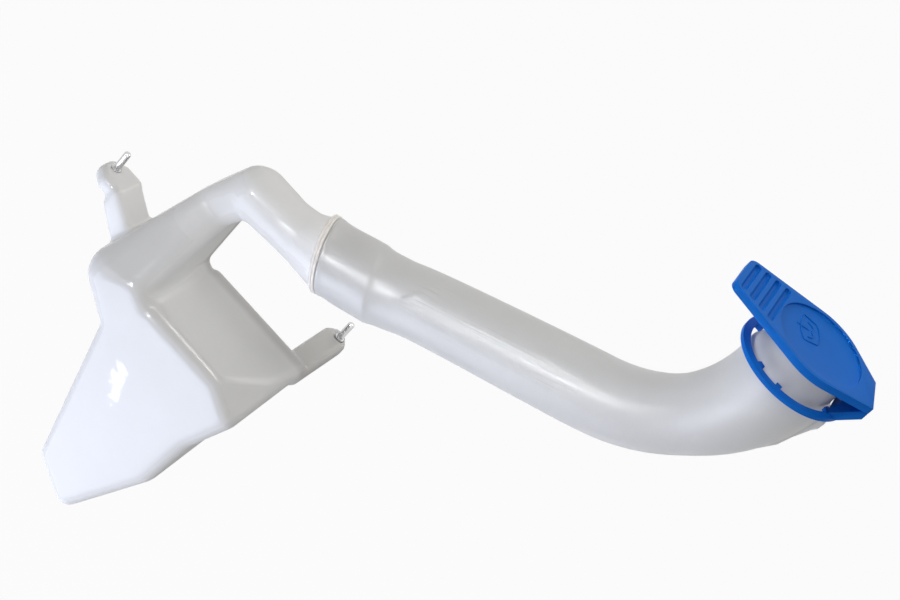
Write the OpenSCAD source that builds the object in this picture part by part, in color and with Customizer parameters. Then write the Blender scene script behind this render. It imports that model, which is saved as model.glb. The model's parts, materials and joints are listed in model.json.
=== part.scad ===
// Washer fluid reservoir for a vehicle, millimetres, Z up as installed.
// The origin is the foot of the rear locating pin, where it leaves its lug.
// X runs along the shelf towards the filler mouth, Y from the front face to the rear wall.

/* [Tank] */
// Length of the level shelf from the foot of the tower to the right wall
shelf_l = 99; // [96:0.5:102]
// Depth of the tank from the front face to the rear wall
tank_d = 87; // [85:0.5:91]
// Height from the shelf down to the floor of the sump
tank_h = 174; // [169:1:179]
// How far the head stands out to the left of the shelf
head_l = 48; // [45:0.5:50]
// Length of the sump floor
sump_l = 46; // [43:0.5:48]
// Depth of the sump from front to rear
sump_d = 72; // [70:0.5:76]
// Wall thickness of the tank moulding
wall = 2.5; // [2.2:0.1:3]
// Rounding of the front and lower tank edges
edge_r = 9.5; // [8.5:0.25:10.5]
// Rounding of the rear edge of the shelf
rear_edge_r = 3.8; // [3.6:0.2:5]

/* [Tower and neck] */
// Distance of the neck axis behind the front face
neck_y = 62; // [60:0.5:64]
// Height of the gooseneck axis above the shelf
neck_z = 83.5; // [82:0.5:85]
// Outer radius of the gooseneck at its narrowest
neck_r = 17; // [16:0.25:18]
// Outer radius of the gooseneck at its bend
bulb_r = 19; // [18.5:0.25:19.75]
// Outer radius of the spigot that enters the pipe socket
spigot_r = 21; // [20.5:0.1:21.5]
// Length of the spigot
spigot_l = 24; // [18:1:28]

/* [Lugs] */
// Reach of the left lug from the head to its end
left_lug_l = 39.5; // [37:0.5:42]
// Width of the left lug
left_lug_w = 26; // [23:0.5:28]
// Height of the left lug pad above the shelf
left_lug_z = 25; // [23:0.5:27]
// Reach of the rear lug from the rear wall to its end
rear_lug_l = 60.5; // [57:0.5:64]
// Width of the rear lug
rear_lug_w = 20; // [18:0.5:22]
// Thickness of both lugs at the pins
lug_t = 13; // [12:0.5:15]

/* [Pins] */
// Diameter of the locating pins
pin_d = 5; // [4.5:0.1:6]
// Length of a pin that stands out of its lug
pin_l = 15; // [12:0.5:18]
// Length of a pin moulded into its lug
pin_in = 9; // [7:0.5:9.5]
// How much thicker the anchor of a pin is on each side
anchor = 1; // [0.6:0.1:1.4]

/* [Filler pipe] */
// Distance of the pipe joint from the foot of the tower
joint_x = 61.1; // [58:0.1:64]
// Height of the pipe joint above the shelf
joint_z = 89.45; // [88:0.05:91]
// Lean of the joint plane towards the front in degrees
joint_lean = 10; // [6:0.5:12]
// Slope of the straight part of the pipe in degrees
rise = 23.1; // [21.5:0.1:24.5]
// Distance of the filler mouth from the foot of the tower
mouth_x = 314; // [306:1:322]
// Bend radius of the pipe axis
bend_r = 117; // [111:1:123]
// Outer radius of the pipe behind its socket
pipe_r = 23.6; // [23:0.1:24.4]
// Outer radius of the pipe before its bend
pipe_end_r = 26; // [25.4:0.1:26.6]
// Wall thickness of the pipe moulding
pipe_wall = 2.3; // [2:0.1:2.6]
// Outer radius of the pipe socket
socket_r = 25.8; // [25.5:0.1:26.4]
// Length of the pipe socket
socket_l = 37.5; // [35:0.5:41]
// Outer radius of the collar that carries the cap ring
collar_r = 32; // [31.2:0.1:32.6]
// Outer radius of the filler mouth
mouth_r = 28.6; // [28:0.1:29.2]
// Height of the mouth above the cap ring
mouth_h = 21.5; // [19:0.5:24]
// Thickness of the fin on the outside of the bend
fin_t = 3; // [2.5:0.25:4]
// Height of the fin below the collar
fin_h = 4.3; // [3:0.1:5]

/* [Cap] */
// Outer radius of the lid disc
lid_r = 34; // [33:0.25:35]
// Thickness of the lid
lid_t = 5; // [4.5:0.25:5.5]
// Reach of the finger tab from the middle of the disc
tab_reach = 63.5; // [60:0.5:66]
// Width of the finger tab at its tip
tab_w = 39; // [36:0.5:42]
// Number of finger grooves
groove_n = 4; // [3:1:4]
// Distance of the film hinge from the middle of the disc
hinge_reach = 43.5; // [42:0.25:45]
// Width of the film hinge
hinge_w = 27; // [23:0.5:31]
// Turn of the film hinge out of square with the tab in degrees
hinge_turn = 14; // [8:1:18]
// Turn of the finger tab about the mouth in degrees
lever_turn = 6; // [0:1:12]
// Depth of the plug skirt under the lid
plug_h = 7; // [5:0.5:8]
// Outer radius of the cap ring
ring_r = 39.5; // [38.5:0.25:40.5]
// Width of the cap ring band
ring_band = 5.5; // [4.5:0.25:6]
// Thickness of the cap ring
ring_t = 3; // [2.4:0.2:3.6]
// Tilt of the loose cap ring in degrees
ring_tilt = 3; // [0:0.5:4]

/* [Pump port] */
// Bore radius of the pump grommet
port_r = 8; // [7:0.25:8.5]
// Height of the port axis above the sump floor
port_up = 33; // [30:0.5:37]

/* [Fits] */
// Clearance of a seal, a pin or a grommet in its seat
slip = 0.15; // [0.1:0.05:0.25]
// Gap between parts that move past each other
play = 0.3; // [0.25:0.05:0.5]
// Thickness of the seal lip between the spigot and the pipe socket
lip_t = 1; // [0.8:0.1:1.2]
// Gap of the plug skirt in the mouth
plug_play = 0.8; // [0.7:0.05:1]

/* [Hidden] */
disc_t = 0.5;
ball_fn = 20;
bulb_fn = 32;
pipe_fn = 44;

// Corner centres of the tank blocks
front_y = edge_r;
rear_y = tank_d - edge_r;
sharp_y = tank_d - rear_edge_r;
sump_rear_y = sump_d - edge_r;
sump_z = edge_r - tank_h;
waist_z = -40;
head_z = 6 - edge_r;
head_r = edge_r + 10;
sump_x1 = 57 - edge_r;
sump_x0 = sump_x1 + edge_r * 2 - sump_l;

// Bend of the gooseneck
bulb_x = 1.3;
bulb_z = neck_z - 1.7;
tower_x1 = -edge_r;
tower_x0 = tower_x1 - 10;
tower_z = neck_z - 28;
tower_edge_x = -rear_edge_r - 1.4;
tower_top = [[tower_x0, neck_y - 10, tower_z], [tower_x1, neck_y - 10, tower_z], [tower_x0, rear_y, tower_z]];

// Pins
rear_pin = [shelf_l - 6.6, tank_d + rear_lug_l - 8, -3];
left_pin = [8 - head_l - left_lug_l, 43.7, left_lug_z];

// Pipe axis from the joint through the bend to the mouth
turn = 90 - rise;
bend_tan = bend_r * tan(turn / 2);
straight_l = (mouth_x - joint_x) / cos(rise) - bend_tan;
arc_l = bend_r * turn * PI / 180;
bend_z = joint_z + (mouth_x - joint_x) * tan(rise) + bend_tan;
seat_up = 3.9;
ring_z = bend_z + seat_up;
rim_z = ring_z + mouth_h;
lid_z = rim_z + play;
seat_s = straight_l + arc_l + seat_up;
rim_s = seat_s + mouth_h;
fin_a = asin(fin_t / 2 / pipe_end_r) * 1.4;

// Seal and socket
seal_t = 4;
socket_in_r = spigot_r + lip_t + 2 * slip;
socket_deep = spigot_l + 4;
mouth_in_r = mouth_r - pipe_wall;
strap_t = 3.4;
strap_h = 5;
strap_foot = 36;

// Pump port on the rear of the sump
port_x = sump_x1 - 12;
port_z = port_up - tank_h;
port_seat_y = sump_d + 7.5;
port_wall = 2.5;
port_hole_r = port_r + 2.5;

// Shift along the axis, for each millimetre below and behind it, that makes the joint plane lean
lean_down = tan(joint_lean) * 0.48;
lean_back = -tan(joint_lean);
function lean(s) = lookup(s, [
    [socket_l, 1],
    [socket_l + 40, 0]
]);

function bend_angle(s) = rise + (s - straight_l) / bend_r * 180 / PI;
function axis_angle(s) = s <= straight_l ? rise : min(90, bend_angle(s));
function axis_x(s) =
    s <= straight_l ? joint_x + s * cos(rise) :
    s <= straight_l + arc_l ? mouth_x - bend_r + bend_r * sin(bend_angle(s)) :
    mouth_x;
function axis_z(s) =
    s <= straight_l ? joint_z + s * sin(rise) :
    s <= straight_l + arc_l ? bend_z - bend_r * cos(bend_angle(s)) :
    bend_z + s - straight_l - arc_l;

// How far the outside of the pipe hangs below the axis at its socket end
function sag(s) = lookup(s, [
    [3, 0.4],
    [12, 1.8],
    [socket_deep, 2.2],
    [socket_l + 3, 3],
    [socket_l + 21, 2.2],
    [socket_l + 33, 0]
]);

// Outer radius of the pipe along its axis: rim, socket, step, straight, bend, collar and mouth
function pipe_out(s) = lookup(s, [
    [0, socket_r - 0.4],
    [1, socket_r],
    [3, socket_r],
    [4.5, socket_r - 0.5],
    [socket_l - 3, socket_r],
    [socket_l, socket_r],
    [socket_l + 3, socket_r - 1.2],
    [socket_l + 21, pipe_r + 0.1],
    [socket_l + 33, pipe_r + 0.2],
    [straight_l - 20, pipe_end_r],
    [straight_l + arc_l * 0.45, pipe_end_r - 0.9],
    [straight_l + arc_l * 0.8, pipe_end_r + 3.8],
    [straight_l + arc_l * 0.95, collar_r - 0.4],
    [straight_l + arc_l, collar_r],
    [seat_s, collar_r]
]);
function pipe_in(s) = s <= socket_deep ? socket_in_r : min(pipe_out(s) - pipe_wall, mouth_in_r);

// Height of the fin that the mould leaves on the outside of the bend
function fin_out(s) = lookup((s - straight_l) / arc_l, [
    [0.7, 0],
    [0.77, 2],
    [0.83, 0.8],
    [0.92, 2.2],
    [0.95, fin_h],
    [0.98, fin_h],
    [0.99, 0]
]);

// Rings of the pipe wall: outside from the rim of the socket to the mouth, then back along the inside
pipe_s = concat(
    [0, 1, 3, 4.5, 12, socket_deep, socket_deep + 2, socket_l - 3, socket_l, socket_l + 3, socket_l + 12],
    [socket_l + 21, socket_l + 33, straight_l - 20],
    [for (i = [0 : 14]) straight_l + arc_l * i / 14],
    [straight_l + arc_l * 0.95, straight_l + arc_l * 0.98, straight_l + arc_l * 0.99, seat_s]
);
outer_s = sorted(pipe_s);
inner_s = [for (i = [1 : len(outer_s)]) outer_s[len(outer_s) - i]];
pipe_rings = concat(
    [for (s = outer_s) [s, pipe_out(s), sag(s), fin_out(s)]],
    [[seat_s, mouth_r, 0, 0], [rim_s - 1.5, mouth_r, 0, 0]],
    [[rim_s, mouth_r - 0.8, 0, 0], [rim_s, mouth_in_r, 0, 0]],
    [for (s = inner_s) [s, pipe_in(s), s <= socket_deep ? 0 : sag(s), 0]]
);
ring_angles = concat(
    [-fin_a * 0.7, fin_a * 0.7, fin_a],
    [for (k = [1 : pipe_fn - 1]) k * 360 / pipe_fn],
    [360 - fin_a]
);
function sorted(v) = len(v) <= 1 ? v : concat(
    sorted([for (x = v) if (x < v[0]) x]),
    [v[0]],
    sorted([for (x = v) if (x > v[0]) x])
);
function ring_point(g, a) =
    let (r = g[1] + (abs(a) < fin_a ? g[3] : 0), out = r * cos(a) + g[2], back = r * sin(a))
    let (tilt = axis_angle(g[0]), on = lean(g[0]) * (lean_down * out + lean_back * back))
    [
        axis_x(g[0]) + out * sin(tilt) + on * cos(tilt),
        neck_y + back,
        axis_z(g[0]) - out * cos(tilt) + on * sin(tilt)
    ];

tank();
pin_left();
pin_rear();
neck_seal();
filler_pipe();
cap_ring();
cap_lid();
pump_grommet();

// Blow-moulded tank with head, gooseneck, two lugs and the pump boss
module tank() color([0.86, 0.87, 0.9]) from_rear_pin() difference() {
    union() {
        tank_blocks(0);
        neck(0);
        left_lug();
        rear_lug();
        port_boss();
    }
    tank_blocks(wall);
    neck(wall);
    port_cut();
    pin_hole(left_pin);
    pin_hole(rear_pin);
}

// Steel pin in the left lug
module pin_left() color([0.72, 0.73, 0.75]) from_rear_pin() pin(left_pin);

// Steel pin in the rear lug
module pin_rear() color([0.72, 0.73, 0.75]) from_rear_pin() pin(rear_pin);

// Seal ring between the neck shoulder and the pipe socket
module neck_seal() color([0.85, 0.8, 0.7]) from_rear_pin() at_joint(0) rotate_extrude($fn = pipe_fn) polygon([
    [spigot_r + slip, -seal_t],
    [socket_r - 0.5, -seal_t],
    [socket_r + 0.1, -seal_t + 0.6],
    [socket_r + 0.1, -0.6],
    [socket_r - 0.5, 0],
    [socket_in_r - slip, 0],
    [socket_in_r - slip, 11],
    [spigot_r + slip + 0.4, 12],
    [spigot_r + slip, 12]
]);

// Blow-moulded filler pipe with socket, bend, fin, collar and mouth
module filler_pipe() color([0.84, 0.86, 0.9]) from_rear_pin() {
    n = len(ring_angles);
    m = len(pipe_rings);
    polyhedron(
        points = [for (g = pipe_rings, a = ring_angles) ring_point(g, a)],
        faces = [for (i = [0 : m - 1], k = [0 : n - 1], half = [0, 1])
            let (j = (i + 1) % m, l = (k + 1) % n)
            half == 0 ? [i * n + k, j * n + k, j * n + l] : [i * n + k, j * n + l, i * n + l]]
    );
}

// Cap ring with inner teeth and the strap that carries the lid
module cap_ring() color([0.1, 0.38, 0.8]) from_rear_pin() at_mouth(ring_z) {
    tilted() linear_extrude(ring_t) {
        difference() {
            circle(r = ring_r, $fn = 96);
            circle(r = ring_r - ring_band, $fn = 96);
        }
        for (a = [95, 165, 235, 265, 335]) rotate(a) ring_tooth();
    }
    strap();
}

// Lid with dished disc, plug skirt and grooved finger tab
module cap_lid() color([0.12, 0.42, 0.85]) from_rear_pin() at_mouth(lid_z) {
    difference() {
        linear_extrude(lid_t) lid_outline();
        translate([0, 0, lid_t - 1.2]) cylinder(r = lid_r - 3, h = 2, $fn = 96);
        for (i = [0 : groove_n - 1]) translate([6.3 + i * 7.6 - tab_reach, 0, lid_t])
            groove(tab_w - 9 + i * 3);
    }
    difference() {
        translate([0, 0, -plug_h]) cylinder(r = mouth_in_r - plug_play, h = plug_h + 1, $fn = 96);
        translate([0, 0, -plug_h - 1]) cylinder(r = mouth_in_r - plug_play - 2, h = plug_h + 2, $fn = 96);
    }
}

// Rubber grommet that takes the inlet of the washer pump
module pump_grommet() color([0.12, 0.12, 0.12]) from_rear_pin() at_port() rotate_extrude($fn = 64) polygon([
    [port_r, -port_wall - 3],
    [port_hole_r + 1, -port_wall - 3],
    [port_hole_r + 1.6, -port_wall - slip],
    [port_hole_r - slip, -port_wall - slip],
    [port_hole_r - slip, 0],
    [port_hole_r + 3.5, 0],
    [port_hole_r + 3.5, 2.4],
    [port_hole_r + 2.9, 3],
    [port_r, 3]
]);

// Moves the working frame, at the foot of the tower, to the foot of the rear pin
module from_rear_pin() translate(-rear_pin) children();

// Places children on the pipe axis at its joint, leaning with the joint plane
module at_joint(s) translate([axis_x(s), neck_y, axis_z(s)]) rotate([0, 90 - rise, 0])
    multmatrix([[1, 0, 0, 0], [0, 1, 0, 0], [lean_down, lean_back, 1, 0]]) children();

// Places children on the mouth axis, turned to the finger tab
module at_mouth(z) translate([mouth_x, neck_y, z]) rotate(lever_turn) children();

// Places children on the axis of the pump port, pointing out of the rear
module at_port() translate([port_x, port_seat_y, port_z]) rotate([-90, 0, 0]) children();

// Thin disc of the neck shoulder under the seal
module shoulder(r, up) at_joint(-seal_t - disc_t / 2) translate([-up, 0, 0])
    cylinder(r = r, h = disc_t, center = true, $fn = pipe_fn);

// Convex block with rounded corners, inset by the wall for its cavity; a point may give its own rounding
module block(points, cut) hull() for (p = points) translate([p[0], p[1], p[2]])
    sphere(r = (len(p) > 3 ? p[3] : edge_r) - cut, $fn = ball_fn);

// Blocks that make up the tank: shelf, head, lower body and tower
module tank_blocks(cut) {
    block([
        for (x = [edge_r, shelf_l - 28]) [x, front_y, -edge_r],
        for (x = [edge_r, shelf_l - rear_edge_r]) [x, sharp_y, -rear_edge_r, rear_edge_r],
        [shelf_l - edge_r, tank_d / 2, -edge_r],
        [shelf_l - edge_r, front_y, -edge_r - 11],
        for (x = [2, shelf_l - edge_r - 11.3], y = [front_y, rear_y]) [x, y, waist_z - 14]
    ], cut);
    block([
        for (y = [head_r, tank_d - head_r]) [head_r - head_l + 0.3, y, 5.3 - head_r, head_r],
        for (y = [front_y, rear_y]) [-edge_r - 1, y, head_z],
        for (y = [front_y, rear_y]) [1, y, waist_z],
        for (y = [front_y, rear_y]) [8, y, -edge_r - 2]
    ], cut);
    block([
        for (y = [front_y, rear_y]) [-4, y, waist_z + 2],
        for (y = [front_y, rear_y]) [shelf_l - 20.8, y, waist_z - 10],
        [shelf_l - 25.3, front_y, -101],
        [shelf_l - 26.8, rear_y - 5, -95],
        for (y = [front_y, sump_rear_y]) [sump_x0 + 1, y, sump_z + 14.5],
        [sump_x1 - 1.2, front_y, sump_z],
        [sump_x1, sump_rear_y, sump_z + 3]
    ], cut);
    block([
        for (y = [head_r, tank_d - head_r]) [head_r - head_l + 0.3, y, 5.3 - head_r, head_r],
        [tower_x1, front_y, head_z],
        [tower_edge_x, sharp_y, head_z, rear_edge_r],
        [tower_edge_x, sharp_y, tower_z, rear_edge_r],
        for (p = tower_top) p
    ], cut);
    hull() {
        for (p = tower_top) translate(p) sphere(r = edge_r - cut, $fn = ball_fn);
        translate([tower_edge_x, sharp_y, tower_z]) sphere(r = rear_edge_r - cut, $fn = ball_fn);
        translate([bulb_x - 3.5, neck_y, bulb_z + 1.7]) sphere(r = bulb_r - 3 - cut, $fn = bulb_fn);
    }
}

// Gooseneck from the bend to the shoulder, then the spigot along the pipe axis
module neck(cut) {
    hull() {
        translate([bulb_x, neck_y, bulb_z]) sphere(r = bulb_r - cut, $fn = bulb_fn);
        neck_ring(26, neck_z - 0.6, 0, neck_r + 0.8 - cut);
    }
    hull() {
        neck_ring(26, neck_z - 0.6, 0, neck_r + 0.8 - cut);
        neck_ring(41, neck_z + 1.3, 11, neck_r + 1.8 - cut);
    }
    hull() {
        neck_ring(41, neck_z + 1.3, 11, neck_r + 1.8 - cut);
        shoulder(cut == 0 ? socket_r - 1.8 : spigot_r - cut, cut == 0 ? -0.5 : 0);
    }
    at_joint(-seal_t - 1) cylinder(r = spigot_r - cut, h = spigot_l + seal_t + 1 + cut, $fn = pipe_fn);
}

// Thin disc across the gooseneck
module neck_ring(x, z, tilt, r) translate([x, neck_y, z]) rotate([0, 90 - tilt, 0])
    cylinder(r = r, h = disc_t, center = true, $fn = pipe_fn);

// Left lug: a ramp from the head to a level pad with a cut end
module left_lug() {
    r = 5;
    y0 = left_pin[1] - left_lug_w / 2 + r - 2;
    y1 = left_pin[1] + left_lug_w / 2 - r;
    arm_y = [y0 - 2, y1 - 1.5];
    pad_z = left_lug_z - r;
    end_x = r - head_l - left_lug_l;
    pad_x = end_x + 18;
    hull() {
        for (y = arm_y, z = [-10, 2]) translate([edge_r - head_l, y, z]) sphere(r = r, $fn = ball_fn);
        for (y = arm_y, z = [pad_z - 9, pad_z]) translate([pad_x, y, z]) sphere(r = r, $fn = ball_fn);
    }
    hull() for (z = [pad_z + 2 * r - lug_t, pad_z]) {
        for (y = [y0, y1], x = [end_x + 6, pad_x]) translate([x, y, z]) sphere(r = r, $fn = ball_fn);
        for (y = [y0 + 5, y1 - 5]) translate([end_x, y, z]) sphere(r = r, $fn = ball_fn);
    }
}

// Rear lug: a level arm behind the right wall with a cut end
module rear_lug() {
    r = 4;
    x0 = rear_pin[0] + 8 - rear_lug_w + r;
    x1 = rear_pin[0] + 8 - r;
    end_y = tank_d + rear_lug_l - r;
    hull() for (z = [rear_pin[2] - r, rear_pin[2] - lug_t + r]) {
        for (x = [x0, x1], y = [rear_y, end_y - 6]) translate([x, y, z]) sphere(r = r, $fn = ball_fn);
        for (x = [x0 + 4, x1 - 4]) translate([x, end_y, z]) sphere(r = r, $fn = ball_fn);
    }
}

// Locating pin with a thicker anchor in the lug and a chamfered tip
module pin(foot) translate(foot) rotate_extrude($fn = 48) polygon([
    [0, -pin_in],
    [pin_d / 2 + anchor, -pin_in],
    [pin_d / 2 + anchor, 0],
    [pin_d / 2, 0],
    [pin_d / 2, pin_l - 1],
    [pin_d / 2 - 1, pin_l],
    [0, pin_l]
]);

// Hole that a pin is moulded into
module pin_hole(foot) translate(foot - [0, 0, pin_in])
    cylinder(r = pin_d / 2 + anchor + slip, h = pin_in + 5, $fn = 48);

// Boss that stands flat behind the sump round the pump port
module port_boss() at_port() translate([0, 0, -24]) cylinder(r = port_hole_r + 7, h = 24, $fn = 48);

// Room for the grommet inside the boss and its hole
module port_cut() {
    at_port() translate([0, 0, -26]) cylinder(r = port_hole_r + 4.5, h = 26 - port_wall, $fn = 48);
    at_port() translate([0, 0, -5]) cylinder(r = port_hole_r, h = 7, $fn = 48);
}

// Strap that rises from the ring to the film hinge
module strap() hull() {
    at_hinge() translate([-strap_t, -hinge_w / 2, mouth_h - strap_h])
        cube([strap_t, hinge_w, strap_h - play / 2]);
    tilted() translate([mouth_r + 1.4, -strap_foot / 2, 0]) cube([4.2, strap_foot, ring_t]);
}

// Places children at the middle of the film hinge, turned to its line
module at_hinge() translate([hinge_reach, 0, 0]) rotate(hinge_turn) children();

// Tilts the loose ring up at the hinge, about its edge under the tab
module tilted() translate([-ring_r, 0, 0]) rotate([0, -ring_tilt, 0]) translate([ring_r, 0, 0]) children();

// Tooth that bears on the collar inside the cap ring
module ring_tooth() translate([collar_r - 1.6, -2])
    square([ring_r - ring_band - collar_r + 2.6, 4]);

// Outline of the lid: disc drawn out to the tab on one side and to the hinge on the other
module lid_outline() hull() {
    circle(r = lid_r, $fn = 96);
    for (y = [7 - tab_w / 2, tab_w / 2 - 7]) translate([7 - tab_reach, y]) circle(r = 7, $fn = 32);
    at_hinge() translate([-6, -hinge_w / 2]) square([6, hinge_w]);
}

// Finger groove across the tab with round ends
module groove(l) {
    rotate([90, 0, 0]) cylinder(r = 2.2, h = l, center = true, $fn = 32);
    for (y = [-l / 2, l / 2]) translate([0, y, 0]) sphere(r = 2.2, $fn = 32);
}
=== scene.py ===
# Washer fluid reservoir with gooseneck tank, long filler pipe and hinged blue cap.
# The sections follow the order in which the real part is put together.
import json
import math

import bpy
from mathutils import Matrix, Vector


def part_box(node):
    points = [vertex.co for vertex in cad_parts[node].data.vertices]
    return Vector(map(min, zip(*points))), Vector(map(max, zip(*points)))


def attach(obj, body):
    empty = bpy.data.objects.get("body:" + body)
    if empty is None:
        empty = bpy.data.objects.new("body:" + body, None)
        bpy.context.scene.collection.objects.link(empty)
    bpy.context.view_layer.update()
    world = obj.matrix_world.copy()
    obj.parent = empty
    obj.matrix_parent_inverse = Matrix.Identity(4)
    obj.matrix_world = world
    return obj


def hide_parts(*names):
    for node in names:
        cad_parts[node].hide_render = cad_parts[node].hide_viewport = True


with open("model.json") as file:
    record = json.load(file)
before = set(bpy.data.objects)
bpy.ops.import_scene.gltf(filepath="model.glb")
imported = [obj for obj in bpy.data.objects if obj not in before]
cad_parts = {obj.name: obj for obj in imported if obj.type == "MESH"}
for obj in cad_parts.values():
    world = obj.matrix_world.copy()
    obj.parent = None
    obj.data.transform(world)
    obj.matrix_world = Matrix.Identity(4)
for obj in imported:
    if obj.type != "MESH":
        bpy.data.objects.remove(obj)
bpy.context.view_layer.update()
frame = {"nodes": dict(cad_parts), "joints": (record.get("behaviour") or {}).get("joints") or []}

# Studio: a plain pale floor well below the hanging part, and a camera above it with a strong roll.
# Soft boxes light the part: two cool ones low in front, narrow ones on the pipe and the cap,
# a slim strip over the front edge of the tank, and two warm ones at the right and behind.
turn, lift, roll = math.radians(6), math.radians(33), math.radians(44)
back = Vector((math.sin(turn) * math.cos(lift), -math.cos(turn) * math.cos(lift), math.sin(lift)))
level = (-back).cross(Vector((0, 0, 1))).normalized()
upright = level.cross(-back)
across = level * math.cos(roll) + upright * math.sin(roll)
above = upright * math.cos(roll) - level * math.sin(roll)
bpy.ops.object.camera_add(location=(0.1836, -1.3949, 0.9980))
camera = bpy.context.object
camera.data.lens = 100
camera.data.sensor_width = 36
rolled = Matrix((across, above, back)).transposed().to_4x4()
camera.matrix_world = Matrix.Translation(camera.location) @ rolled
scene = bpy.context.scene
scene.camera = camera
scene.view_settings.view_transform = "Standard"


def new_material(name):
    material = bpy.data.materials.new(name)
    material.use_nodes = True
    material.node_tree.nodes.clear()
    output = material.node_tree.nodes.new("ShaderNodeOutputMaterial")
    return material, material.node_tree, output


def reckon(tree, operation, first, second):
    node = tree.nodes.new("ShaderNodeMath")
    node.operation = operation
    for socket, value in zip(node.inputs, (first, second)):
        if isinstance(value, (int, float)):
            socket.default_value = value
        else:
            tree.links.new(value, socket)
    return node.outputs[0]


def seen_directly(tree):
    ray = tree.nodes.new("ShaderNodeLightPath").outputs
    mirrored = reckon(tree, "MAXIMUM", ray["Is Glossy Ray"], ray["Is Transmission Ray"])
    return reckon(tree, "MAXIMUM", ray["Is Camera Ray"], mirrored)


def blend(tree, share, first, second, output):
    mix = tree.nodes.new("ShaderNodeMixShader")
    tree.links.new(share, mix.inputs[0])
    tree.links.new(first.outputs[0], mix.inputs[1])
    tree.links.new(second.outputs[0], mix.inputs[2])
    tree.links.new(mix.outputs[0], output.inputs["Surface"])


floor_drop = 1.0
white_share = 0.95
floor_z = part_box("tank")[0].z
bpy.ops.mesh.primitive_plane_add(size=14, location=(0.05, 0, floor_z - floor_drop))
floor = bpy.context.object
floor.name = "floor"
paper, tree, output = new_material("studio_paper")
pale = tree.nodes.new("ShaderNodeBsdfDiffuse")
pale.inputs["Color"].default_value = (0.82, 0.82, 0.82, 1)
white = tree.nodes.new("ShaderNodeEmission")
white.inputs["Strength"].default_value = 1.0
blend(tree, reckon(tree, "MULTIPLY", seen_directly(tree), white_share), pale, white, output)
floor.data.materials.append(paper)

world = bpy.data.worlds.new("studio")
scene.world = world
world.use_nodes = True
tree = world.node_tree
tree.nodes.clear()
output = tree.nodes.new("ShaderNodeOutputWorld")
room = tree.nodes.new("ShaderNodeBackground")
room.inputs["Color"].default_value = (1.0, 0.985, 0.95, 1)
room.inputs["Strength"].default_value = 0.30
sky = tree.nodes.new("ShaderNodeBackground")
sky.inputs["Color"].default_value = (1, 1, 1, 1)
sky.inputs["Strength"].default_value = 1.0
blend(tree, seen_directly(tree), room, sky, output)


def soft_box(name, place, aim, size, power, tint, spread=180, gloss_only=False):
    bpy.ops.object.light_add(type="AREA", location=place)
    lamp = bpy.context.object
    lamp.name = name
    lamp.data.shape = "RECTANGLE"
    lamp.data.size, lamp.data.size_y = size
    lamp.data.energy = power
    lamp.data.color = tint
    lamp.data.spread = math.radians(spread)
    lamp.visible_camera = False
    lamp.visible_diffuse = not gloss_only
    lamp.rotation_euler = (Vector(aim) - Vector(place)).to_track_quat("-Z", "Y").to_euler()


cold, cool, daylight = (0.76, 0.82, 1.0), (0.85, 0.90, 1.0), (0.95, 0.97, 1.0)
soft_box("low_box", (-0.30, -0.93, -0.79), (-0.08, -0.12, -0.02), (1.05, 0.9), 11.0, cold)
soft_box("low_lamp", (-0.233, -0.972, -0.756), (-0.07, -0.14, -0.05), (0.13, 0.13), 1.3, cool)
soft_box("pipe_lamp", (-0.44, -1.46, 0.615), (0.08, -0.09, 0.16), (0.5, 0.12), 0.075, daylight, 10)
soft_box(
    "sheen_box", (-0.50, -1.47, 0.595), (0.035, -0.095, 0.125), (0.6, 0.8), 0.62, daylight, 12,
    gloss_only=True,
)
soft_box("cap_lamp", (-0.68, -0.68, 0.84), (0.235, -0.075, 0.335), (0.20, 0.20), 0.04, daylight, 7)
soft_box("fill_box", (0.75, -0.85, 0.15), (0.0, -0.10, 0.0), (0.6, 0.6), 1.3, (1.0, 0.99, 0.97))
soft_box("top_box", (-0.155, -0.172, 1.19), (-0.05, -0.135, 0.0), (0.9, 0.03), 2.9, (1.0, 0.98, 0.95))
soft_box("back_box", (0.20, 0.70, 1.00), (0.0, -0.10, 0.0), (0.7, 0.5), 1.8, (1.0, 0.985, 0.95))

# Tank: one blow moulding of milky polyethylene with the head, the gooseneck and both lugs.
# Every edge and inside corner of it is rounded, as the soft parison leaves them.
# It hangs from the car by its pins, and all the other pieces are put on it.
corner = Vector((-0.0934, -0.0745, 0.005))
corner_reach, corner_fade = 0.016, 0.006
tower_foot = ((-0.094, -0.124, 0.004), (-0.094, -0.098, 0.004))
neck_root = ((-0.092, -0.100, 0.064), (-0.086, -0.070, 0.068))
neck_front = ((-0.105, -0.100, 0.070), (-0.085, -0.098, 0.072))


def only(piece):
    if bpy.context.object and bpy.context.object.mode == "EDIT":
        bpy.ops.object.mode_set(mode="OBJECT")
    bpy.ops.object.select_all(action="DESELECT")
    piece.select_set(True)
    bpy.context.view_layer.objects.active = piece


def apply_modifiers(piece):
    only(piece)
    for modifier in list(piece.modifiers):
        bpy.ops.object.modifier_apply(modifier=modifier.name)


def cast_from(node, name):
    mesh = frame["nodes"][node].data.copy()
    mesh.name = name
    mesh.materials.clear()
    piece = bpy.data.objects.new(name, mesh)
    scene.collection.objects.link(piece)
    only(piece)
    bpy.ops.object.mode_set(mode="EDIT")
    bpy.ops.mesh.select_all(action="SELECT")
    bpy.ops.mesh.remove_doubles(threshold=0.000005)
    bpy.ops.object.mode_set(mode="OBJECT")
    return piece


def blow(piece, voxel, rounds):
    skin = piece.modifiers.new("skin", "REMESH")
    skin.mode = "VOXEL"
    skin.voxel_size = voxel
    skin.adaptivity = 0
    ease = piece.modifiers.new("ease", "SMOOTH")
    ease.factor = 0.5
    ease.iterations = rounds
    apply_modifiers(piece)
    bpy.ops.object.shade_smooth()


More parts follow.
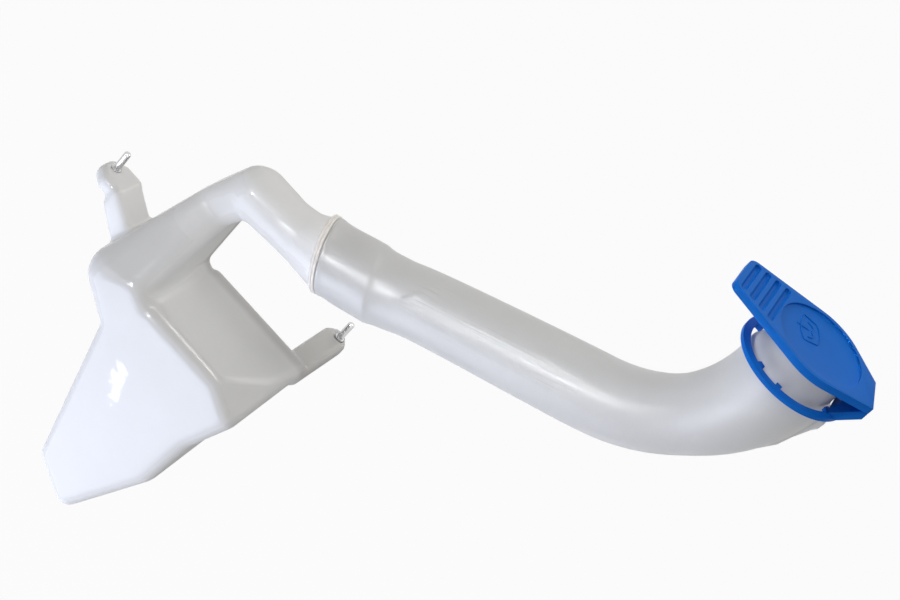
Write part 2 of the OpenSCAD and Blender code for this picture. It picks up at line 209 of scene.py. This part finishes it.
def ease_near(piece, lines, reach, rounds):
    group = piece.vertex_groups.new(name="ease")
    for vertex in piece.data.vertices:
        gap = reach
        for start, end in lines:
            along = Vector(end) - Vector(start)
            share = max(0, min(1, (vertex.co - Vector(start)).dot(along) / along.length_squared))
            gap = min(gap, (vertex.co - Vector(start) - along * share).length)
        if gap < reach:
            group.add([vertex.index], 1 - gap / reach, "REPLACE")
    ease = piece.modifiers.new("ease", "SMOOTH")
    ease.factor = 0.5
    ease.iterations = rounds
    ease.vertex_group = "ease"
    apply_modifiers(piece)
    piece.vertex_groups.remove(piece.vertex_groups["ease"])


tank = cast_from("tank", "blown_tank")
blow(tank, voxel=0.00153, rounds=5)
group = tank.vertex_groups.new(name="corner")
for vertex in tank.data.vertices:
    gap = (vertex.co - corner).length
    if gap < corner_reach:
        group.add([vertex.index], min(1, (corner_reach - gap) / corner_fade), "REPLACE")
settle = tank.modifiers.new("settle", "SHRINKWRAP")
settle.target = frame["nodes"]["tank"]
settle.vertex_group = "corner"
apply_modifiers(tank)
tank.vertex_groups.remove(tank.vertex_groups["corner"])
ease_near(tank, [tower_foot], reach=0.022, rounds=90)
ease_near(tank, [neck_root, neck_front], reach=0.016, rounds=40)


def new_finish(name):
    material, tree, output = new_material(name)
    shader = tree.nodes.new("ShaderNodeBsdfPrincipled")
    tree.links.new(shader.outputs[0], output.inputs["Surface"])
    where = tree.nodes.new("ShaderNodeTexCoord").outputs
    return material, tree, shader, where


def noise(tree, place, scale, detail=2, rough=0.5):
    node = tree.nodes.new("ShaderNodeTexNoise")
    node.inputs["Scale"].default_value = scale
    node.inputs["Detail"].default_value = detail
    node.inputs["Roughness"].default_value = rough
    tree.links.new(place, node.inputs["Vector"])
    return node.outputs["Fac"]


def tone(tree, shader, value, dark, light, start=0, end=1):
    node = tree.nodes.new("ShaderNodeValToRGB")
    for stop, position, tint in zip(node.color_ramp.elements, (start, end), (dark, light)):
        stop.position = position
        stop.color = (*tint, 1)
    tree.links.new(value, node.inputs["Fac"])
    tree.links.new(node.outputs["Color"], shader.inputs["Base Color"])


def gloss_between(tree, shader, value, low, high):
    node = tree.nodes.new("ShaderNodeMapRange")
    node.inputs["To Min"].default_value = low
    node.inputs["To Max"].default_value = high
    tree.links.new(value, node.inputs["Value"])
    tree.links.new(node.outputs["Result"], shader.inputs["Roughness"])


def bumpy(tree, shader, height, strength, depth):
    node = tree.nodes.new("ShaderNodeBump")
    node.inputs["Strength"].default_value = strength
    node.inputs["Distance"].default_value = depth
    tree.links.new(height, node.inputs["Height"])
    if shader.inputs["Normal"].links:
        tree.links.new(shader.inputs["Normal"].links[0].from_socket, node.inputs["Normal"])
    tree.links.new(node.outputs["Normal"], shader.inputs["Normal"])


def milky(name, tint, rough):
    material, tree, shader, where = new_finish(name)
    shader.inputs["Subsurface Weight"].default_value = 0.5
    shader.inputs["Subsurface Radius"].default_value = (1.0, 1.0, 1.0)
    shader.inputs["Subsurface Scale"].default_value = 0.006
    shader.inputs["Specular IOR Level"].default_value = 0.45
    cloud = noise(tree, where["Object"], scale=22, detail=4)
    tone(tree, shader, cloud, [c * 0.97 for c in tint], tint, start=0.3, end=0.7)
    gloss_between(tree, shader, cloud, rough - 0.06, rough + 0.08)
    grain = noise(tree, where["Object"], scale=260, detail=3)
    bumpy(tree, shader, grain, strength=0.05, depth=0.0006)
    return material, tree, shader, where


def ramp(tree, value, start, end, low=0, high=1):
    node = tree.nodes.new("ShaderNodeMapRange")
    node.interpolation_type = "SMOOTHSTEP"
    node.inputs["From Min"].default_value = start
    node.inputs["From Max"].default_value = end
    node.inputs["To Min"].default_value = low
    node.inputs["To Max"].default_value = high
    tree.links.new(value, node.inputs["Value"])
    return node.outputs["Result"]


def split(tree, vector):
    node = tree.nodes.new("ShaderNodeSeparateXYZ")
    tree.links.new(vector, node.inputs[0])
    return node.outputs


tank_skin, tree, shader, where = milky("milky_tank", tint=(0.93, 0.93, 0.93), rough=0.17)
facing = split(tree, where["Normal"])
in_front = ramp(tree, facing["Y"], -0.93, -0.985)
on_right = ramp(tree, facing["X"], 0.35, 0.75)
over_smear = tree.nodes.new("ShaderNodeMapping")
over_smear.vector_type = "TEXTURE"
over_smear.inputs["Location"].default_value = (-0.0692, -0.139, -0.056)
over_smear.inputs["Rotation"].default_value = (0, math.radians(-23), 0)
over_smear.inputs["Scale"].default_value = (0.012, 0.05, 0.032)
tree.links.new(where["Object"], over_smear.inputs["Vector"])
fading = tree.nodes.new("ShaderNodeTexGradient")
fading.gradient_type = "SPHERICAL"
tree.links.new(over_smear.outputs["Vector"], fading.inputs["Vector"])
rub = noise(tree, where["Object"], scale=240, detail=4, rough=0.7)
rubbed = reckon(tree, "ADD", fading.outputs["Fac"], reckon(tree, "MULTIPLY", rub, 1.5))
near_smear = ramp(tree, fading.outputs["Fac"], 0.02, 0.2)
smear = reckon(tree, "MULTIPLY", ramp(tree, rubbed, 1.22, 1.34), near_smear)
on_tank = split(tree, where["Object"])
neck_height = ramp(tree, on_tank["Z"], 0.030, 0.070)
neck_top = reckon(tree, "MULTIPLY", neck_height, ramp(tree, facing["Z"], 0.35, 0.6))
rough = shader.inputs["Roughness"].links[0].from_socket
for mask, change in ((in_front, 0.22), (on_right, 0.5), (smear, -0.16), (neck_top, 0.4)):
    rough = reckon(tree, "ADD", rough, reckon(tree, "MULTIPLY", mask, change))
tree.links.new(rough, shader.inputs["Roughness"])
# Painted shade: behind the rear wall, over the rear lug, the base colour is multiplied darker to stand
# in for the shade that lies on the lug.
painted_shade_rear = tree.nodes.new("ShaderNodeMix")
painted_shade_rear.data_type = "RGBA"
painted_shade_rear.blend_type = "MULTIPLY"
painted_shade_rear.inputs[7].default_value = (0.74, 0.73, 0.72, 1)
tree.links.new(ramp(tree, on_tank["Y"], -0.068, -0.060), painted_shade_rear.inputs[0])
tree.links.new(shader.inputs["Base Color"].links[0].from_socket, painted_shade_rear.inputs[6])
tree.links.new(painted_shade_rear.outputs[2], shader.inputs["Base Color"])
tank.data.materials.append(tank_skin)
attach(tank, "reservoir")
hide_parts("tank")

# Locating pins: bright zinc-plated steel, turned with a rounded tip and a collar as anchor.
# The tank is moulded round the anchor, so only the shank stands out of each lug.
pin_r, pin_l = 0.0025, 0.015
anchor_r, anchor_l, anchor_ease = 0.0035, 0.009, 0.0002
pin_profile = [
    (0, -anchor_l),
    (anchor_r - anchor_ease, -anchor_l),
    (anchor_r, anchor_ease - anchor_l),
    (anchor_r, -anchor_ease),
    (anchor_r - anchor_ease, 0),
    (pin_r, 0),
    (pin_r, pin_l - 0.0014),
    (pin_r - 0.00014, pin_l - 0.0008),
    (pin_r - 0.00045, pin_l - 0.0003),
    (pin_r - 0.0009, pin_l),
    (0, pin_l),
]


def steel():
    material, tree, shader, where = new_finish("zinc_steel")
    shader.inputs["Metallic"].default_value = 1.0
    lathe = noise(tree, where["Object"], scale=900)
    tone(tree, shader, lathe, dark=(0.52, 0.52, 0.53), light=(0.72, 0.72, 0.73))
    gloss_between(tree, shader, lathe, low=0.18, high=0.32)
    return material


def turned(name, profile, place, steps=64):
    bpy.ops.object.select_all(action="DESELECT")
    bpy.ops.mesh.primitive_plane_add(size=0.001)
    piece = bpy.context.object
    piece.name = piece.data.name = name
    bpy.ops.object.mode_set(mode="EDIT")
    bpy.ops.mesh.merge(type="CENTER")
    bpy.ops.transform.translate(value=(profile[0][0], 0, profile[0][1]))
    for here, there in zip(profile, profile[1:]):
        step = (there[0] - here[0], 0, there[1] - here[1])
        bpy.ops.mesh.extrude_region_move(TRANSFORM_OT_translate={"value": step})
    bpy.ops.mesh.select_all(action="SELECT")
    bpy.ops.mesh.spin(steps=steps, angle=2 * math.pi, center=(0, 0, 0), axis=(0, 0, 1))
    bpy.ops.mesh.select_all(action="SELECT")
    bpy.ops.mesh.remove_doubles(threshold=0.000002)
    bpy.ops.mesh.normals_make_consistent(inside=False)
    bpy.ops.object.mode_set(mode="OBJECT")
    piece.data.transform(place)
    bpy.ops.object.shade_smooth_by_angle(angle=math.radians(35))
    return piece


zinc = steel()
for name, foot in (("pin_left", (-0.1719, -0.0958, 0.028)), ("pin_rear", (0, 0, 0))):
    pin = turned(name + "_turned", pin_profile, Matrix.Translation(foot))
    pin.data.materials.append(zinc)
    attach(pin, "reservoir")
    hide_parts(name)

# Pump grommet: black rubber, pressed into the boss behind the sump.
# The inlet of the washer pump pushes into its bore.
grommet = cast_from("pump_grommet", "rubber_grommet")


def rubber(name, rough, scale, dark, light):
    material, tree, shader, where = new_finish(name)
    shader.inputs["Roughness"].default_value = rough
    tone(tree, shader, noise(tree, where["Object"], scale), dark, light)
    return material


black = rubber("black_rubber", 0.6, 180, (0.012, 0.012, 0.013), (0.03, 0.03, 0.031))
grommet.data.materials.append(black)
only(grommet)
bpy.ops.object.shade_smooth_by_angle(angle=math.radians(35))
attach(grommet, "reservoir")
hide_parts("pump_grommet")

# Neck seal: a cream rubber ring with two beads, slipped over the spigot.
# The rim of the pipe socket presses it against the shoulder of the neck.
rise = math.radians(23.1)
on_axis = Vector((math.cos(rise), 0, math.sin(rise)))
below_axis = Vector((math.sin(rise), 0, -math.cos(rise)))
joint = Vector((-0.0313, -0.0775, 0.09245))
lean = math.tan(math.radians(10))
leaning = Matrix(((1, 0, 0, 0), (0, 1, 0, 0), (lean * 0.48, -lean, 1, 0), (0, 0, 0, 1)))
at_joint = Matrix((below_axis, (0, 1, 0), on_axis)).transposed().to_4x4()
at_joint = Matrix.Translation(joint) @ at_joint @ leaning
seal_bore, sleeve_r, lip_r = 0.02115, 0.02215, 0.0247
lip_l, sleeve_l = 0.004, 0.012
bead_r, bead_out, bead_half = 0.0254, 0.0007, 0.00098
seal_profile = [(seal_bore, -lip_l), (lip_r, -lip_l)]
for bead in (-0.003, -0.001):
    for step in range(9):
        swell = math.radians(-80 + 20 * step)
        seal_profile.append((bead_r + bead_out * math.cos(swell), bead + bead_half * math.sin(swell)))
seal_profile += [(lip_r, 0), (sleeve_r, 0), (sleeve_r, sleeve_l - 0.001), (sleeve_r - 0.0006, sleeve_l)]
seal_profile += [(seal_bore, sleeve_l), (seal_bore, -lip_l)]
seal = turned("cream_seal", seal_profile, at_joint, 96)
cream = rubber("cream_rubber", 0.3, 120, (0.90, 0.86, 0.82), (0.94, 0.91, 0.88))
seal.data.materials.append(cream)
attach(seal, "reservoir")
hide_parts("neck_seal")

# Filler pipe: a second blow moulding of the same polyethylene, with a socket, a long bend,
# a fin that the mould leaves and a collar. Its socket slips over the spigot of the tank.
# A curved crease starts the long flat below the socket, and the mould draws streaks along it.
pipe = cast_from("filler_pipe", "blown_pipe")
pipe_r = 0.025
bend_r = 0.117
straight = 0.19765
bend = Vector((0.1046, -0.0775, 0.277615))
fin_start, fin_end, fin_root = 0.285, 0.334, 0.0245
outer_r = 0.0222
crease_arc = 23.5
crease = [(66, -46.3), (69.5, -49.2), (74, -54.1), (80, -59.1), (87, -65.6)]
crease_height, crease_width, crease_fade = 0.0011, 1.1, 0.6
band_down, band_side = -16.3, -36.5


def along_pipe(point):
    length = (point - joint).dot(on_axis)
    centre, down = joint + on_axis * length, below_axis
    if length > straight and point.z > bend.z:
        length = straight + bend_r * (math.pi / 2 - rise) + point.z - bend.z
        centre, down = Vector((bend.x + bend_r, bend.y, point.z)), Vector((1, 0, 0))
    elif length > straight:
        swing = math.atan2(point.x - bend.x, bend.z - point.z)
        length = straight + bend_r * (swing - rise)
        down = Vector((math.sin(swing), 0, -math.cos(swing)))
        centre = bend + down * bend_r
    side = point - centre
    return length, math.atan2(side.y, side.dot(down)), math.hypot(side.y, side.dot(down))


def on_fin(point):
    length, swing, radius = along_pipe(point)
    return fin_start < length < fin_end and abs(swing) < math.radians(4) and radius > fin_root


def by_crease(point):
    length, swing, radius = along_pipe(point)
    round_it = -math.radians(178) < swing < -math.radians(95)
    return 0.058 < length < 0.096 and round_it and radius > outer_r


def pick(piece, wanted):
    only(piece)
    bpy.ops.object.mode_set(mode="EDIT")
    bpy.ops.mesh.select_mode(type="VERT")
    bpy.ops.mesh.select_all(action="DESELECT")
    bpy.ops.object.mode_set(mode="OBJECT")
    for vertex in piece.data.vertices:
        vertex.select = wanted(vertex.co)
    bpy.ops.object.mode_set(mode="EDIT")


pick(pipe, on_fin)
bpy.ops.transform.edge_crease(value=1.0)
bpy.ops.mesh.select_all(action="SELECT")
bpy.ops.mesh.tris_convert_to_quads(face_threshold=math.radians(70), shape_threshold=math.radians(180))
bpy.ops.object.mode_set(mode="OBJECT")
round_off = pipe.modifiers.new("round_off", "SUBSURF")
round_off.levels = round_off.render_levels = 2
apply_modifiers(pipe)
pick(pipe, by_crease)
bpy.ops.mesh.subdivide(number_cuts=2, smoothness=1)
bpy.ops.object.mode_set(mode="OBJECT")
for vertex in pipe.data.vertices:
    length, swing, radius = along_pipe(vertex.co)
    if not (0.055 < length < 0.1 and swing < -1.5 and radius > outer_r):
        continue
    spot = Vector((length * 1000, swing * crease_arc))
    gap, share = 9, 0
    for number, (start, end) in enumerate(zip(crease, crease[1:])):
        stretch = Vector(end) - Vector(start)
        part = max(0, min(1, (spot - Vector(start)).dot(stretch) / stretch.length_squared))
        here = (spot - Vector(start) - stretch * part).length
        if here < gap:
            gap, share = here, (number + part) / (len(crease) - 1)
    height = crease_height * math.exp(-((gap / crease_width) ** 2)) * (1 - crease_fade * share)
    out = (vertex.co - joint) - on_axis * (vertex.co - joint).dot(on_axis)
    vertex.co += out.normalized() * height
only(pipe)
bpy.ops.object.shade_smooth()
mould = pipe.data.attributes.new("mould", "FLOAT_VECTOR", "POINT")
for vertex in pipe.data.vertices:
    length, swing, radius = along_pipe(vertex.co)
    mould.data[vertex.index].vector = (length, pipe_r * math.cos(swing), pipe_r * math.sin(swing))
pipe_skin, tree, shader, where = milky("milky_pipe", tint=(0.66, 0.66, 0.66), rough=0.36)
shader.inputs["Specular IOR Level"].default_value = 0.6
straightened = tree.nodes.new("ShaderNodeAttribute")
straightened.attribute_name = "mould"
drawn = tree.nodes.new("ShaderNodeMapping")
drawn.inputs["Scale"].default_value = (9, 900, 900)
tree.links.new(straightened.outputs["Vector"], drawn.inputs["Vector"])
streak = noise(tree, drawn.outputs["Vector"], scale=1)
in_mould = split(tree, straightened.outputs["Vector"])
downward = reckon(tree, "MULTIPLY", in_mould["Y"], band_down)
sideways = reckon(tree, "MULTIPLY", in_mould["Z"], band_side)
band = ramp(tree, reckon(tree, "ADD", downward, sideways), 0.80, 0.94)
band = reckon(tree, "MULTIPLY", band, ramp(tree, in_mould["X"], 0.060, 0.072))
band = reckon(tree, "MULTIPLY", band, ramp(tree, in_mould["X"], 0.230, 0.180))
bumpy(tree, shader, reckon(tree, "MULTIPLY", streak, band), strength=0.45, depth=0.0006)
drawn_gloss = reckon(tree, "MULTIPLY", ramp(tree, streak, 0.42, 0.62, low=-0.08, high=0.10), band)
rough = reckon(tree, "ADD", shader.inputs["Roughness"].links[0].from_socket, drawn_gloss)
tree.links.new(rough, shader.inputs["Roughness"])
pipe.data.materials.append(pipe_skin)
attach(pipe, "reservoir")
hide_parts("filler_pipe")

# Cap ring: blue polypropylene, snapped over the mouth on to the collar.
# Teeth inside it bear on the collar, and its strap carries the film hinge of the lid.
ring = cast_from("cap_ring", "blue_ring")


def blue(name, tint):
    material, tree, shader, where = new_finish(name)
    shader.inputs["Roughness"].default_value = 0.42
    shader.inputs["Specular IOR Level"].default_value = 0.05
    flow = noise(tree, where["Object"], scale=60)
    tone(tree, shader, flow, [c * 0.93 for c in tint], tint)
    grain = noise(tree, where["Object"], scale=1500)
    bumpy(tree, shader, grain, strength=0.08, depth=0.0003)
    return material


def bevel(piece, width, angle):
    ease = piece.modifiers.new("ease", "BEVEL")
    ease.width = width
    ease.segments = 3
    ease.limit_method = "ANGLE"
    ease.angle_limit = math.radians(angle)
    apply_modifiers(piece)
    bpy.ops.object.shade_smooth_by_angle(angle=math.radians(40))


def ease_edges(piece, width):
    only(piece)
    bpy.ops.object.mode_set(mode="EDIT")
    bpy.ops.mesh.select_all(action="SELECT")
    bpy.ops.mesh.dissolve_limited(angle_limit=math.radians(1))
    bpy.ops.object.mode_set(mode="OBJECT")
    bevel(piece, width, angle=32)


cap_blue = blue("blue_cap", (0.005, 0.140, 0.58))
ring.data.materials.append(cap_blue)
ease_edges(ring, width=0.0005)
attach(ring, "reservoir")
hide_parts("cap_ring")

# Cap lid: the same blue plastic, hung on the strap by its film hinge.
# Its skirt plugs the mouth, and a finger lifts it by the grooved tab.
dish_steps = ((0.0018, 0.0007), (0.0075, 0.0008), (0.0075, 0.0006), (0.0075, 0.0003))
lid = cast_from("cap_lid", "blue_lid")
lid.data.materials.append(cap_blue)
ease_edges(lid, width=0.0006)
lid_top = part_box("cap_lid")[1].z
pick(lid, lambda point: False)
bpy.ops.mesh.select_mode(type="FACE")
bpy.ops.object.mode_set(mode="OBJECT")
below_rim = [face for face in lid.data.polygons if face.center.z < lid_top - 0.001]
dish = max((face for face in below_rim if face.normal.z > 0.99), key=lambda face: face.area)
dish.select = True
bpy.ops.object.mode_set(mode="EDIT")
for width, depth in dish_steps:
    bpy.ops.mesh.inset(thickness=width, depth=-depth)
bpy.ops.object.mode_set(mode="OBJECT")
bpy.ops.object.shade_smooth_by_angle(angle=math.radians(40))
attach(lid, "lid")
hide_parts("cap_lid")

# Hinge film: the thin web between strap and lid, moulded with both of them.
# It lies along the line on which the lid turns.
film_r, film_l = 0.00045, 0.024
hinge = frame["joints"][0]
bpy.ops.mesh.primitive_cylinder_add(
    vertices=16,
    radius=film_r,
    depth=film_l,
    location=hinge["pos_m"],
    rotation=Vector(hinge["axis"]).to_track_quat("Z", "Y").to_euler(),
)
film = bpy.context.object
film.name = film.data.name = "hinge_film"
bpy.ops.object.transform_apply()
bevel(film, width=0.0002, angle=60)
film.data.materials.append(cap_blue)
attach(film, "reservoir")

# Sign on the lid: a windscreen with a jet of water, raised on the floor of the dish.
# It is moulded with the lid, of the same blue plastic.
stroke_r = 0.0006
units_per_metre = 720
screen = [(-8, -4), (-6.4, 3.4), (-3.4, 4.8), (0, 5.2), (3.4, 4.8), (6.4, 3.4), (8, -4)]
screen += [(4.2, -5.2), (0, -5.6), (-4.2, -5.2), (-8, -4)]
stalk = [(0, -7.6), (0, -1.2)]
left_jet = [(-4.6, -1.4), (-3.9, 0.6), (-2.2, 1.6), (-0.7, 0.7)]
right_jet = [(-x, y) for x, y in left_jet]
over_dish = Matrix.Translation((0.2118, -0.0700, lid_top + 0.004))
over_dish = over_dish @ Matrix.Rotation(math.radians(-62), 4, "Z")
bpy.context.view_layer.update()
strokes = []
for line in (screen, stalk, left_jet, right_jet):
    spots = [over_dish @ Vector((x / units_per_metre, y / units_per_metre, 0)) for x, y in line]
    spots = [lid.ray_cast(spot, (0, 0, -1))[1] for spot in spots]
    for spot in spots:
        bpy.ops.mesh.primitive_uv_sphere_add(segments=12, ring_count=8, radius=stroke_r, location=spot)
        strokes.append(bpy.context.object)
    for here, there in zip(spots, spots[1:]):
        stretch = there - here
        bpy.ops.mesh.primitive_cylinder_add(
            vertices=12,
            radius=stroke_r,
            depth=stretch.length,
            location=(here + there) / 2,
            rotation=stretch.to_track_quat("Z", "Y").to_euler(),
        )
        strokes.append(bpy.context.object)
bpy.ops.object.select_all(action="DESELECT")
for stroke in strokes:
    stroke.select_set(True)
bpy.context.view_layer.objects.active = strokes[0]
bpy.ops.object.join()
bpy.ops.object.transform_apply()
sign = bpy.context.object
sign.name = sign.data.name = "washer_sign"
blow(sign, voxel=0.0002, rounds=3)
sign.data.materials.append(cap_blue)
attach(sign, "lid")
